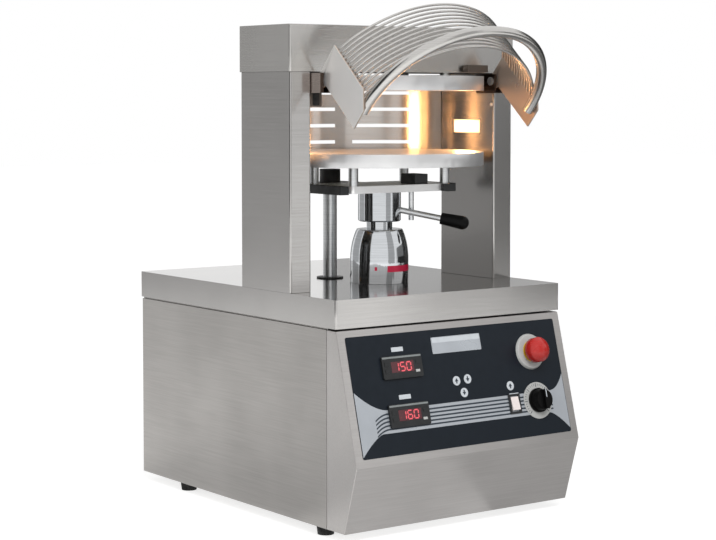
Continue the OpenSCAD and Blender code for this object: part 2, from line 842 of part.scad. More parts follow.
// Controls
module panel_overlay() {
    color("#232a33") placed() difference() {
        on_panel(0, (overlay_s0 + overlay_s1) / 2)
            linear_extrude(overlay_t) rounded(overlay_w, overlay_s1 - overlay_s0, overlay_r);
        panel_cuts(sheet_t);
    }
}
module thermostats() {
    color("#16181a") placed() for (s = thermo_s) on_panel(thermo_x, s) difference() {
        union() {
            translate([0, 0, overlay_t]) linear_extrude(thermo_proud) rounded(bezel_w, bezel_h, overlay_r);
            translate([-thermo_body_w / 2, -thermo_body_h / 2, overlay_t - thermo_body_d])
                cube([thermo_body_w, thermo_body_h, thermo_body_d]);
        }
        window_block(cut, side_gap / 2);
    }
}
module window_block(extra, gap) {
    translate([-window_w / 2 - gap, -window_h / 2 - gap, overlay_t + thermo_proud - window_t])
        cube([window_w + 2 * gap, window_h + 2 * gap, window_t + extra]);
}
module display_windows() {
    color("#5a0d10") placed() for (s = thermo_s) on_panel(thermo_x, s) window_block(0, 0);
}
module stop_base() {
    color("#c9ccd0") placed() on_panel(stop_x, stop_s) difference() {
        union() {
            translate([0, 0, overlay_t])
                cylinder(d1 = stop_base_d, d2 = stop_base_d - stop_base_t, h = stop_base_t);
            translate([0, 0, overlay_t - stop_stem_l]) cylinder(d = stop_stem_d, h = stop_stem_l);
        }
        translate([0, 0, overlay_t - stop_stem_l - cut])
            cylinder(r = stop_plunger_d / 2 + run_gap, h = stop_stem_l + stop_base_t + 2 * cut);
    }
}
module stop_button() {
    head_z = overlay_t + stop_base_t + stop_lift;
    dome_h = stop_head_t - stop_skirt_t;
    dome_r = (pow(stop_d / 2, 2) + pow(dome_h, 2)) / (2 * dome_h);
    color("#c8201f") placed() on_panel(stop_x, stop_s) {
        translate([0, 0, head_z]) intersection() {
            cylinder(d = stop_d, h = stop_head_t);
            translate([0, 0, stop_head_t - dome_r]) sphere(r = dome_r);
        }
        translate([0, 0, overlay_t - stop_lift])
            cylinder(d = stop_plunger_d, h = head_z - overlay_t + stop_lift + cut);
    }
}
module timer_dial() {
    color("#e6e8ea") placed() on_panel(timer_x, timer_s) difference() {
        union() {
            translate([0, 0, overlay_t]) cylinder(d = dial_d, h = dial_t);
            translate([0, 0, overlay_t - timer_body_l]) cylinder(d = timer_body_d, h = timer_body_l);
        }
        translate([0, 0, overlay_t - timer_shaft_l - knob_gap])
            cylinder(r = timer_shaft_d / 2 + run_gap, h = timer_shaft_l + 2 * cut);
    }
}
module timer_knob() {
    knob_z = overlay_t + dial_t + knob_gap;
    color("#141414") placed() on_panel(timer_x, timer_s) {
        translate([0, 0, knob_z]) cylinder(d = knob_d, h = knob_skirt_h);
        translate([0, 0, knob_z + knob_skirt_h])
            cylinder(d1 = knob_d - knob_skirt_h, d2 = knob_d - 2 * knob_skirt_h, h = knob_h - knob_skirt_h);
        block([-knob_ridge_w / 2, -knob_d / 2 + knob_skirt_h, knob_z],
              [knob_ridge_w / 2, knob_d / 2 - knob_skirt_h, knob_z + knob_h + knob_ridge_h]);
        translate([0, 0, knob_z + knob_skirt_h - timer_shaft_l])
            cylinder(d = timer_shaft_d, h = timer_shaft_l);
    }
}
module switch_frame() {
    color("#15171a") placed() on_panel(rocker_x, rocker_s) difference() {
        union() {
            translate([0, 0, overlay_t]) linear_extrude(frame_t) rounded(frame_w, frame_h, overlay_r / 2);
            translate([0, 0, overlay_t - frame_body_l / 2])
                cube([frame_w - 2 * frame_t, frame_h - 2 * frame_t, frame_body_l], center = true);
        }
        translate([-frame_open_w / 2, -frame_open_h / 2, overlay_t - frame_body_l + frame_floor])
            cube([frame_open_w, frame_open_h, frame_body_l + frame_t]);
    }
}
module start_rocker() {
    color("#e9e4e2") placed() on_panel(rocker_x, rocker_s)
        translate([0, 0, overlay_t - rocker_pivot]) rotate([-rocker_tilt, 0, 0]) {
            block([-rocker_w / 2, -rocker_l / 2, -rocker_down + rocker_pivot],
                  [rocker_w / 2, rocker_l / 2, rocker_up + rocker_pivot]);
            rotate([0, 90, 0]) cylinder(d = rocker_pivot, h = frame_open_w - 2 * run_gap, center = true);
        }
}
module screws() {
    row_step = (cab_z1 - foot_h - 2 * screw_margin) / (screw_rows - 1);
    color("#9d9da0") placed() {
        both_sides() for (row = [0:screw_rows - 1])
            translate([cab_x - end_flange / 2, back_y, foot_h + screw_margin + row * row_step])
                rotate([-90, 0, 0]) cylinder(d = screw_d, h = screw_h);
        both_sides() translate([gap_half, upright_y0 + bracket_screw_y, upright_top - bracket_screw_drop])
            rotate([0, -90, 0]) cylinder(d = screw_d, h = screw_h);
    }
}

// Carrier, ram, guide and collar
module carrier_plate() {
    color("#bcbcbe") placed() on_axis(carrier_z)
        linear_extrude(carrier_t) rounded(carrier_w, carrier_d, carrier_r);
}
module standoffs() {
    color("#d2d2d4") placed() on_axis(carrier_z + carrier_t)
        four_corners(post_x, post_y) cylinder(d = standoff_d, h = standoff_h);
}
module terminal_blocks() {
    end_x = carrier_w / 2;
    front_y0 = -carrier_d / 2;
    color("#1a1a1a") placed() on_axis(carrier_z) {
        both_sides() block([end_x, -block_d / 2, -block_drop], [end_x + block_w, block_d / 2, carrier_t]);
        block([end_x - tab_w, front_y0 - tab_d, 0], [end_x, front_y0, carrier_t]);
        block([terminal_x - terminal_w / 2, front_y0 + carrier_r, carrier_t],
              [terminal_x + terminal_w / 2, front_y0 + carrier_r + terminal_d, carrier_t + terminal_h]);
    }
}
module ram_screw() {
    ram_z = foot_h + ram_bottom_up;
    color("#c8cacd") placed() on_axis(ram_z) {
        cylinder(d = ram_d, h = collar_z - side_gap - ram_z);
        cylinder(d = shank_d, h = carrier_z - ram_z);
    }
}
module guide_arm() {
    arm_y0 = press_setback + carrier_d / 2;
    arm_y1 = guide_y + arm_back;
    color("#2b2b2b") placed() difference() {
        union() {
            block([arm_x0, arm_y0, carrier_z], [arm_x1, arm_y1, carrier_z + carrier_t]);
            translate([guide_x, guide_y, carrier_z]) cylinder(d = guide_hub_d, h = carrier_t + guide_hub_up);
        }
        translate([guide_x, guide_y, carrier_z - cut])
            cylinder(r = guide_d / 2 + run_gap, h = carrier_t + guide_hub_up);
    }
}
module guide_rod() {
    rod_z = worktop_h - guide_down;
    color("#cfd1d3") placed() translate([guide_x, guide_y, rod_z])
        cylinder(d = guide_d, h = carrier_z + carrier_t + guide_hub_up - cut - rod_z);
}
module stop_pin() {
    color("#c4c4c6") placed() on_axis(carrier_z - stop_pin_l)
        rotate([0, 0, lever_turn + stop_pin_lag])
            translate([stop_pin_out, 0, 0]) cylinder(d = stop_pin_d, h = stop_pin_l);
}
module at_lever() {
    placed() on_axis(lever_z) rotate([0, 0, lever_turn]) rotate([0, 90 + lever_fall, 0]) children();
}
module thickness_collar() {
    r = collar_d / 2;
    c = collar_chamfer;
    z1 = collar_h - side_gap;
    color("#d4d6d8") difference() {
        placed() on_axis(collar_z) rotate_extrude()
            polygon([[shank_d / 2 + run_gap, 0], [r - c, 0], [r, c], [r, z1 - c], [r - c, z1],
                     [shank_d / 2 + run_gap, z1]]);
        at_lever() translate([0, 0, lever_start]) cylinder(r = lever_d / 2 + run_gap, h = collar_d);
    }
}
module lever_rod() {
    color("#c6c7c9") at_lever()
        translate([0, 0, lever_start]) cylinder(d = lever_d, h = lever_end - lever_start);
}
module lever_grip() {
    color("#121212") at_lever() translate([0, 0, lever_end]) {
        cylinder(d1 = grip_d * grip_neck_share, d2 = grip_d, h = grip_l - grip_d / 2);
        translate([0, 0, grip_l - grip_d / 2]) sphere(d = grip_d);
    }
}

// Guard: side plates, wires and handle, drawn closed and then raised
module guard_side_plates() {
    outline = [
        [hinge_y - guard_front_out, hinge_z + guard_top_up], [hinge_y, hinge_z + guard_top_up],
        [hinge_y, hinge_z], [hinge_y - guard_heel_out, hinge_z - guard_heel_down],
        [hinge_y - guard_low_out, hinge_z - guard_heel_down],
        [hinge_y - guard_front_out, hinge_z - guard_front_down]
    ];
    color("#b9b8b6") placed() raised() both_sides() difference() {
        along_x(plate_x0, plate_x1) {
            polygon(outline);
            translate([hinge_y, hinge_z]) circle(r = ear_r);
        }
        translate([plate_x0 - cut, hinge_y, hinge_z]) rotate([0, 90, 0])
            cylinder(r = pin_d / 2 + run_gap, h = guard_t + 2 * cut);
    }
}
module guard_wires() {
    color("#c3c2c0") placed() raised() for (i = [0:wire_n - 1])
        translate([0, wire_y - wire_bow + wire_r, hinge_z + wire_top_up - i * wire_pitch])
            rotate([0, 0, -90 - wire_half_deg]) rotate_extrude(angle = 2 * wire_half_deg)
                translate([wire_r, 0]) circle(d = wire_d);
}
// The handle's bends are a hair thicker and lap over the tubes that they join
module handle_path(d, extra) {
    leg_y = hinge_y - handle_start_out + extra;
    translate([0, handle_apex_y + handle_front_r, 0])
        rotate([0, 0, -90 - handle_front_deg]) rotate_extrude(angle = 2 * handle_front_deg)
            translate([handle_front_r, 0]) circle(d = d);
    both_sides() {
        translate([handle_x - handle_corner_r, handle_corner_y, 0])
            rotate([0, 0, handle_front_deg - 90 - handle_lap])
                rotate_extrude(angle = 90 - handle_front_deg + 2 * handle_lap)
                    translate([handle_corner_r, 0]) circle(d = d + handle_swell);
        translate([handle_x, leg_y, 0]) rotate([90, 0, 0]) cylinder(d = d, h = leg_y - handle_corner_y);
    }
}
module guard_handle() {
    color("#bdbcba") placed() raised() translate([0, 0, handle_z]) difference() {
        handle_path(handle_d, 0);
        handle_path(handle_d - 2 * handle_wall, cut);
    }
}

base_pan();
left_side_panel();
right_side_panel();
back_panel();
front_fascia();
worktop_cap();
feet();
left_upright();
right_upright();
header_box();
tie_rods();
tie_nuts();
top_beam();
bottom_beam();
upper_platen();
upper_heater();
upper_insulation();
upper_studs();
rear_guard();
lamp_housings();
lamp_lenses();
hinge_brackets();
guard_switch();
bell_cover();
ram_bush();
guide_bush();
gear_motor();
nut_bearing();
drive_belt();
control_box();
mains_gland();
panel_overlay();
thermostats();
display_windows();
stop_base();
switch_frame();
timer_dial();
screws();
lower_platen();
lower_heater();
lower_insulation();
carrier_plate();
standoffs();
terminal_blocks();
ram_screw();
guide_arm();
guide_rod();
stop_pin();
thickness_collar();
lever_rod();
lever_grip();
nut_pulley();
motor_pulley();
guard_side_plates();
guard_wires();
guard_handle();
hinge_pins();
stop_button();
timer_knob();
start_rocker();
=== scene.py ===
# %% [markdown]
# Dressing a pizza dough press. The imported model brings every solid, in metres and in its final place.
# This lesson gives those solids the finishes of the real machine, adds the thin trim that a maker would
# print, weld or screw on last, and sets up a plain white studio with the camera where the photographer
# stood.

# %% Load the frame
import math

import bmesh
import bpy
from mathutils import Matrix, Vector


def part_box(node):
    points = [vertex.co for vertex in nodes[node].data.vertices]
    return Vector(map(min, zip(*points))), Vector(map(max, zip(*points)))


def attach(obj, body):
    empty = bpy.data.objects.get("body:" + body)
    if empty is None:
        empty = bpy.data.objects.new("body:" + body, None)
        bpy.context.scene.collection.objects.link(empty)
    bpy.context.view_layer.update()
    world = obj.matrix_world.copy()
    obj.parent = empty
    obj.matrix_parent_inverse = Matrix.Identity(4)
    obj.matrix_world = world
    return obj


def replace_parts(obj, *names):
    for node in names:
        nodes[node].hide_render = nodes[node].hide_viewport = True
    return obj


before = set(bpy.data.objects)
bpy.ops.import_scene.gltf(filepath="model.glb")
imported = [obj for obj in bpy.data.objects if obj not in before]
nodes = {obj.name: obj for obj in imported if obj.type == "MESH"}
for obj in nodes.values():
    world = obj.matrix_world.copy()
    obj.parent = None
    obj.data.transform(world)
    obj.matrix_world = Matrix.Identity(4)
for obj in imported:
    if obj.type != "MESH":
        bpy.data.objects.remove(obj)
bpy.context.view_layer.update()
MM = 0.001

# %% [markdown]
# A few helpers serve the whole lesson. Colours are written as the sRGB hex values that one reads off a
# picture, so they have to be made linear before a shader uses them. The function add makes one shader
# node, sets it and links it.

# %% Colour and node helpers
def linear(hex_colour):
    parts = [int(hex_colour[i:i + 2], 16) / 255 for i in (1, 3, 5)]
    return tuple(c / 12.92 if c <= 0.04045 else ((c + 0.055) / 1.055) ** 2.4 for c in parts) + (1.0,)


def add(tree, kind, inputs=None, **settings):
    node = tree.nodes.new(kind)
    for key, value in settings.items():
        setattr(node, key, value)
    for key, value in (inputs or {}).items():
        if isinstance(value, bpy.types.NodeSocket):
            tree.links.new(value, node.inputs[key])
        else:
            node.inputs[key].default_value = value
    return node


def new_finish(name, **constants):
    material = bpy.data.materials.new(name)
    material.use_nodes = True
    tree = material.node_tree
    shader = tree.nodes["Principled BSDF"]
    for key, value in constants.items():
        shader.inputs[key.replace("_", " ")].default_value = value
    return material, tree, shader


def wire(tree, shader, **sockets):
    """Links sockets to the shader's inputs of the same names."""
    for key, socket in sockets.items():
        tree.links.new(socket, shader.inputs[key.replace("_", " ")])


print("white is", linear("#ffffff"))

# %% [markdown]
# The same few nodes come up in finish after finish, so each gets a short name. Every one of these gives
# back the socket to go on with, and a finish then reads as a list of what it is made of. Sizes are in
# millimetres, as one would measure them on the machine.

# %% Short names for nodes
def per_metre(size_mm):
    return 1 / (size_mm * MM)


def number(tree, operation, *values):
    return add(tree, "ShaderNodeMath", dict(enumerate(values)), operation=operation).outputs[0]


def vector(tree, operation, *values):
    """A vector worked out from others, or a vector's length."""
    node = add(tree, "ShaderNodeVectorMath", dict(enumerate(values)), operation=operation)
    return node.outputs["Value" if operation == "LENGTH" else "Vector"]


def blend(tree, share, first, second, **settings):
    """A colour between two others."""
    inputs = {0: share, 6: first, 7: second}
    return add(tree, "ShaderNodeMix", inputs, data_type="RGBA", **settings).outputs[2]


def remap(tree, value, low, high, to_low=0.0, to_high=1.0):
    """A value taken from one range to another."""
    inputs = {"Value": value, "From Min": low, "From Max": high, "To Min": to_low, "To Max": to_high}
    return add(tree, "ShaderNodeMapRange", inputs).outputs[0]


def noise(tree, place, size_mm, detail):
    inputs = {"Vector": place, "Scale": per_metre(size_mm), "Detail": detail}
    return add(tree, "ShaderNodeTexNoise", inputs).outputs[0]


def drawn_noise(tree, place, sizes_mm, detail):
    """Noise with its own size along each axis."""
    scale = [per_metre(size) for size in sizes_mm]
    drawn = add(tree, "ShaderNodeMapping", {"Vector": place, "Scale": scale}).outputs[0]
    return add(tree, "ShaderNodeTexNoise", {"Vector": drawn, "Scale": 1.0, "Detail": detail}).outputs[0]


def relief(tree, height, strength, depth_mm):
    inputs = {"Height": height, "Strength": strength, "Distance": depth_mm * MM}
    return add(tree, "ShaderNodeBump", inputs).outputs[0]


print("a 2 mm grain is", per_metre(2), "to the metre")

# %% [markdown]
# The cabinet is stainless steel sheet with a brushed finish: a belt has drawn fine parallel scratches
# along each sheet. The eye sees a highlight that is smeared across the grain and stays crisp along it,
# faint streaks, and cloudy patches where hands and cloths have been. The real scratches are about 0.1 mm
# apart, too fine for the picture, so they are drawn 1.4 mm apart and 90 mm long. The smear needs a
# direction: the cross product of the surface's normal with the vertical lies along the scratches on
# every upright sheet, and a touch of x settles it on level ones. The worktop is polished more on its
# level top than on its folded front, and the front is given painted light: its colour is made lighter.
# The side sheets are given painted shade, a darker tint than the front's. Posts and brackets are given
# painted shade on their inner faces, which see the dim space between them: their colour is darker there.

# %% Brushed stainless steel
GRAIN_LENGTH_MM = 90
CLOUD_MM = 140
SCRATCH_DEPTH_MM = 0.1
STREAK_RANGE = (0.7, 1.3)
LEVEL_NORMAL_Z = (0.6, 0.8)
FRONT_NORMAL_Y = -0.7


def painted_inner_shade(tree, place, tone, shade_inner_x, inner_shade_tint):
    """Painted shade: a darker tone on faces of a left and right pair nearer the middle than shade_inner_x.
    """
    side = number(tree, "ABSOLUTE", add(tree, "ShaderNodeSeparateXYZ", {0: place}).outputs["X"])
    return blend(tree, number(tree, "LESS_THAN", side, shade_inner_x), tone, linear(inner_shade_tint))


def brushed_steel(name, tint, dark_tint, roughness, fine_axes, grain_mm=1.4, depth=0.10, smear=0.75,
                  level_roughness=None, front_painted_light=1.0, shade_inner_x=None, inner_shade_tint=None):
    material, tree, shader = new_finish(name, Metallic=1.0, Anisotropic=smear, Anisotropic_Rotation=0.25)
    place = add(tree, "ShaderNodeTexCoord").outputs["Object"]
    sizes = [grain_mm if axis in fine_axes else GRAIN_LENGTH_MM for axis in "xyz"]
    grain = drawn_noise(tree, place, sizes, 3.0)
    both = number(tree, "ADD", grain, noise(tree, place, CLOUD_MM, 2.0))
    tone = blend(tree, remap(tree, both, *STREAK_RANGE), linear(dark_tint), linear(tint))
    gloss = remap(tree, both, *STREAK_RANGE, roughness * 1.1, roughness * 0.9)
    bump = relief(tree, grain, depth, SCRATCH_DEPTH_MM)
    facing = add(tree, "ShaderNodeNewGeometry").outputs["Normal"]
    level = vector(tree, "CROSS_PRODUCT", facing, (0, 0, 1))
    along = vector(tree, "ADD", level, (0.01, 0, 0))
    if level_roughness:
        parts = add(tree, "ShaderNodeSeparateXYZ", {0: facing}).outputs
        rise = number(tree, "ABSOLUTE", parts["Z"])
        gloss = remap(tree, rise, *LEVEL_NORMAL_Z, gloss, level_roughness)
        # Painted light: front-facing faces are made lighter by front_painted_light.
        front = number(tree, "LESS_THAN", parts["Y"], FRONT_NORMAL_Y)
        tone = blend(tree, front, tone, (front_painted_light,) * 3 + (1.0,), blend_type="MULTIPLY")
    # Painted shade: faces nearer the middle than shade_inner_x take a darker colour.
    if shade_inner_x:
        tone = painted_inner_shade(tree, place, tone, shade_inner_x, inner_shade_tint)
    wire(tree, shader, Base_Color=tone, Roughness=gloss, Normal=bump, Tangent=along)
    return material


# Painted shade covers the upright and bracket faces nearer the middle than these limits.
upright_shade_inner_x = -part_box("left_upright")[1].x + 0.5 * MM
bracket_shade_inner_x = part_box("hinge_brackets")[1].x - 0.4 * MM
# Painted shade: the side sheets take a darker tint than the front sheets.
side_steel_painted_shade = brushed_steel("brushed stainless side sheet", "#b5b2af", "#a9a6a3", 0.36, "z")
front_steel = brushed_steel("brushed stainless front sheet", "#c0bdbb", "#b4b1af", 0.32, "yz")
# Painted shade: the uprights' inner faces take the darker tint #9b9997.
upright_steel = brushed_steel("brushed stainless upright", "#bbb9b7", "#afadab", 0.20, "z",
                              depth=0.05, smear=0.7, shade_inner_x=upright_shade_inner_x, inner_shade_tint="#9b9997")
# Painted light: the worktop's front-facing faces are made 1.12 times lighter.
worktop_steel = brushed_steel("polished stainless worktop", "#bbb9b7", "#b1afad", 0.18, "yz",
                              depth=0.03, smear=0.5, level_roughness=0.13, front_painted_light=1.12)
mirror_steel = brushed_steel("polished stainless rear sheet", "#c8c5c1", "#bcb9b5", 0.19, "z",
                             depth=0.03, smear=0.9)
guard_steel = brushed_steel("satin stainless guard", "#d0cecb", "#c0bebb", 0.24, "z",
                            grain_mm=1.0, smear=0.0)
# Painted shade: the brackets' inner faces take the very dark tint #4a3f38, for the shaded gap beside the
# upright.
bracket_steel = brushed_steel("satin stainless bracket", "#b7aca6", "#aa9f99", 0.28, "z",
                              depth=0.05, shade_inner_x=bracket_shade_inner_x, inner_shade_tint="#4a3f38")
header_steel = brushed_steel("brushed stainless header", "#c8c6c3", "#bcbab7", 0.26, "z",
                             depth=0.05, smear=0.7)
dull_steel = brushed_steel("galvanised steel sheet", "#a9a9a6", "#969693", 0.45, "z",
                           grain_mm=6.0, smear=0.2)
print("inner faces nearer than", round(upright_shade_inner_x, 4), "and", round(bracket_shade_inner_x, 4))

# %% [markdown]
# The bell, the collar and the ram are hard chrome on ground steel: nearly a mirror, with hairline marks
# left round the axis by the grinding wheel. Those marks are under 0.05 mm wide and only blur the
# reflection a little, so a fine noise in the roughness stands for them. The rods are ground steel with
# no chrome, paler and much duller.

# %% Hard chrome
MARK_LENGTH_MM = 60
MARK_RANGE = (0.35, 0.65)


def hard_chrome(name, tint, roughness, mark_mm, spread):
    material, tree, shader = new_finish(name, Metallic=1.0)
    place = add(tree, "ShaderNodeTexCoord").outputs["Object"]
    marks = drawn_noise(tree, place, (MARK_LENGTH_MM, MARK_LENGTH_MM, mark_mm), 2.0)
    gloss = remap(tree, marks, *MARK_RANGE, roughness - spread, roughness + spread)
    tone = blend(tree, marks, linear("#b9bcbf"), linear(tint))
    wire(tree, shader, Base_Color=tone, Roughness=gloss)
    return material


chrome = hard_chrome("hard chrome on ground steel", "#dcdfe2", 0.07, 1.2, 0.025)
rod_steel = hard_chrome("ground steel rod", "#f6f7f7", 0.36, 0.8, 0.02)
print("chrome and rod steel ready")

# %% [markdown]
# The hot plates are cast aluminium, faced on a lathe, so fine rings run round the press axis. The tool's
# feed was about 0.3 mm: the rings are drawn 2.4 mm apart to show. The distance from the axis drives a
# wave that lifts the surface a little, and slow noise gives the stains that heat and flour leave.

# %% Turned aluminium
press_low, press_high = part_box("lower_platen")
press_axis = (press_low + press_high) / 2
RING_MM = 2.4
RING_DEPTH_MM = 0.05
STAIN_MM = 55


def turned_aluminium(name, tint, dark_tint, roughness):
    material, tree, shader = new_finish(name, Metallic=0.7)
    place = add(tree, "ShaderNodeTexCoord").outputs["Object"]
    away = vector(tree, "SUBTRACT", place, (press_axis.x, press_axis.y, 0))
    reach = vector(tree, "LENGTH", vector(tree, "MULTIPLY", away, (1, 1, 0)))
    turns = number(tree, "MULTIPLY", reach, per_metre(RING_MM) * math.tau)
    stain = noise(tree, place, STAIN_MM, 4.0)
    tone = blend(tree, stain, linear(dark_tint), linear(tint))
    gloss = remap(tree, stain, 0.0, 1.0, roughness * 1.3, roughness * 0.7)
    bump = relief(tree, number(tree, "SINE", turns), 0.12, RING_DEPTH_MM)
    wire(tree, shader, Base_Color=tone, Roughness=gloss, Normal=bump)
    return material


plate_metal = turned_aluminium("turned cast aluminium", "#e6e6e6", "#cdcdce", 0.36)
carrier_metal = turned_aluminium("turned aluminium carrier", "#fdfdfd", "#eeeeef", 0.40)
print("press axis at", [round(v, 4) for v in press_axis])

# %% [markdown]
# Everything else that is moulded, painted or cast shares one idea: a base colour that varies a little,
# and a grain whose size belongs to the process. Spark-eroded ABS has a 0.6 mm grain, rubber a finer one,
# powder paint an orange peel of 2 mm, and cast iron lumps of 3 mm. Wear is a slower noise, 25 grains
# wide, and both the colour and the roughness follow it.

# %% Grained finishes
WEAR_GRAINS = 25
WEAR_RANGE = (0.3, 0.7)
GRAIN_DEPTH_MM = 0.1


def grained(name, tint, dark_tint, roughness, grain_mm, depth, shade_inner_x=None, inner_shade_tint=None, **constants):
    material, tree, shader = new_finish(name, **constants)
    place = add(tree, "ShaderNodeTexCoord").outputs["Object"]
    wear = noise(tree, place, grain_mm * WEAR_GRAINS, 2.0)
    tone = blend(tree, wear, linear(dark_tint), linear(tint))
    # Painted shade: faces nearer the middle than shade_inner_x take a darker colour.
    if shade_inner_x:
        tone = painted_inner_shade(tree, place, tone, shade_inner_x, inner_shade_tint)
    gloss = remap(tree, wear, *WEAR_RANGE, roughness * 1.2, roughness * 0.8)
    bump = relief(tree, noise(tree, place, grain_mm, 3.0), depth, GRAIN_DEPTH_MM)
    wire(tree, shader, Base_Color=tone, Roughness=gloss, Normal=bump)
    return material


black_abs = grained("moulded black ABS", "#1d1f21", "#131415", 0.5, 0.6, 0.2, IOR=1.54)
knob_phenolic = grained("worn black phenolic", "#0d0d0d", "#080808", 0.38, 0.8, 0.05, IOR=1.2)
foot_rubber = grained("moulded nitrile rubber", "#1a1a1a", "#101010", 0.8, 0.4, 0.3, IOR=1.52)
dark_paint = grained("black powder paint", "#2a2a2a", "#1e1e1e", 0.45, 2.0, 0.15, IOR=1.5)
motor_paint = grained("grey enamel paint", "#66727c", "#5a656e", 0.35, 2.0, 0.12, IOR=1.5)
cast_iron = grained("machined cast iron", "#77777a", "#636366", 0.42, 3.0, 0.2, Metallic=1.0)
bronze = grained("bearing bronze", "#b69a5d", "#9d834d", 0.3, 1.5, 0.1, Metallic=1.0)
heater_sheath = grained("heat stained element sheath", "#6d6259", "#4e4640", 0.5, 2.0, 0.1, Metallic=1.0)
board = grained("pressed mica board", "#d6d1c3", "#c4bfb0", 0.8, 1.2, 0.3, IOR=1.58)
switch_abs = grained("moulded brown black ABS", "#584e46", "#4a423b", 0.5, 0.6, 0.2, IOR=1.54)
lip_grey = grained("grey moulded lip", "#858a8a", "#777c7c", 0.5, 0.6, 0.1, IOR=1.5)
stop_red = grained("glossy red polycarbonate", "#b62622", "#a61f1c", 0.25, 0.8, 0.04, IOR=1.5)
pale_abs = grained("moulded pale grey ABS", "#b9bab8", "#abacaa", 0.4, 0.6, 0.12, IOR=1.5)
rocker_pc = grained("pale translucent rocker", "#ece3e0", "#dfd3d0", 0.3, 0.6, 0.05, IOR=1.58)
panel_film = grained("printed navy polyester film", "#171e26", "#131920", 0.35, 0.6, 0.02, IOR=1.3)
label_silver = grained("satin silver label", "#b9bec4", "#a9aeb4", 0.32, 2.0, 0.005, Metallic=0.4)
ink_pale = grained("pale screen ink", "#c9ced3", "#bcc1c6", 0.5, 0.4, 0.1, IOR=1.5)
ink_dark = grained("dark screen ink", "#2b343e", "#252d36", 0.5, 0.4, 0.1, IOR=1.5)
ink_red = grained("red enamel mark", "#b3123a", "#a00f33", 0.35, 0.6, 0.08, IOR=1.5)
yellow = grained("yellow moulded ring", "#d9b22b", "#c49d1f", 0.4, 0.6, 0.08, IOR=1.54)
# Painted shade and painted warm light: the guard plates' inner faces take the darker, warmer tint #c2b0a2.
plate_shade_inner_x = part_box("guard_side_plates")[1].x - 0.4 * MM
blasted_steel = grained("bead blasted stainless", "#f0eeec", "#e6e4e2", 0.34, 2.0, 0.01, Metallic=0.75,
                        shade_inner_x=plate_shade_inner_x, inner_shade_tint="#c2b0a2")
print("inner faces of the guard plates nearer than", round(plate_shade_inner_x, 4))

# %% [markdown]
# Two finishes give light. The lamp lens is frosted glass over a warm lamp: brightest in the middle and a
# little darker towards its rim. The digits of the displays shine a little in front of windows that are
# dark red filters. The digits themselves are added as geometry further on.

# %% Lit finishes
LENS_SHINE = 1.8
DIGIT_SHINE = 0.4
LENS_FADE = (0.2, 1.2)
lens_low, lens_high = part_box("lamp_lenses")
lens_mid = (lens_low + lens_high) / 2


def lamp_glass(name):
    material, tree, shader = new_finish(name, Roughness=0.35, IOR=1.5, Emission_Strength=LENS_SHINE)
    place = add(tree, "ShaderNodeTexCoord").outputs["Object"]
    away = vector(tree, "SUBTRACT", place, tuple(lens_mid))
    size = lens_high - lens_low
    share = vector(tree, "MULTIPLY", away, (0, 1.6 / size.y, 1.6 / size.z))
    fade = remap(tree, vector(tree, "LENGTH", share), *LENS_FADE)
    tone = blend(tree, fade, linear("#fff6e4"), linear("#ffc98a"))
    wire(tree, shader, Base_Color=tone, Emission_Color=tone)
    return material


lens_glass = lamp_glass("frosted lamp glass")
window_red = grained("red display filter", "#56232a", "#4a1b21", 0.15, 0.5, 0.02, IOR=1.52)
digit_glow = grained("lit red segment", "#d8606a", "#cc545e", 0.4, 0.5, 0.02, IOR=1.5,
                     Emission_Color=linear("#e04a52"), Emission_Strength=DIGIT_SHINE)
print("lens centre:", [round(v, 4) for v in lens_mid])

# %% [markdown]
# Each solid now takes the finish of the thing it is. The sheets' grain axes follow how the blanks are
# cut: along the sides, across the front, and round the posts.

# %% Finishes onto the solids
finish_of = {
    "left_side_panel": side_steel_painted_shade, "right_side_panel": side_steel_painted_shade, "back_panel": front_steel,
    "front_fascia": front_steel, "worktop_cap": worktop_steel, "left_upright": upright_steel,
    "right_upright": upright_steel, "header_box": header_steel, "rear_guard": mirror_steel,
    "guard_side_plates": blasted_steel, "guard_wires": guard_steel, "guard_handle": guard_steel,
    "hinge_pins": rod_steel, "hinge_brackets": bracket_steel, "screws": rod_steel, "bell_cover": chrome,
    "thickness_collar": chrome, "ram_screw": chrome, "guide_rod": rod_steel, "lever_rod": rod_steel,
    "stop_pin": rod_steel, "standoffs": rod_steel, "upper_studs": rod_steel, "upper_platen": plate_metal,
    "lower_platen": plate_metal, "carrier_plate": carrier_metal, "top_beam": cast_iron,
    "bottom_beam": cast_iron, "tie_rods": rod_steel, "tie_nuts": cast_iron, "nut_bearing": cast_iron,
    "nut_pulley": cast_iron, "motor_pulley": cast_iron, "base_pan": dull_steel,
    "lamp_housings": dull_steel, "guide_arm": dark_paint, "guide_bush": dark_paint,
    "terminal_blocks": black_abs, "guard_switch": switch_abs, "thermostats": black_abs,
    "switch_frame": black_abs, "mains_gland": black_abs, "lever_grip": knob_phenolic,
    "timer_knob": knob_phenolic, "feet": foot_rubber, "drive_belt": foot_rubber, "ram_bush": bronze,
    "gear_motor": motor_paint, "control_box": motor_paint, "upper_heater": heater_sheath,
    "lower_heater": heater_sheath, "upper_insulation": board, "lower_insulation": board,
    "panel_overlay": panel_film, "display_windows": window_red, "stop_button": stop_red,
    "stop_base": pale_abs, "timer_dial": pale_abs, "start_rocker": rocker_pc, "lamp_lenses": lens_glass,
}
for name, node in nodes.items():
    node.data.materials.clear()
    node.data.materials.append(finish_of[name])
print("finished solids:", len(finish_of))

# %% [markdown]
# Folded sheet and machined blocks have no razor edges. A bevel modifier rounds each sharp edge by the
# radius that the fold or the deburring tool leaves, and a weld before it joins the triangles' corners so
# that it can work.

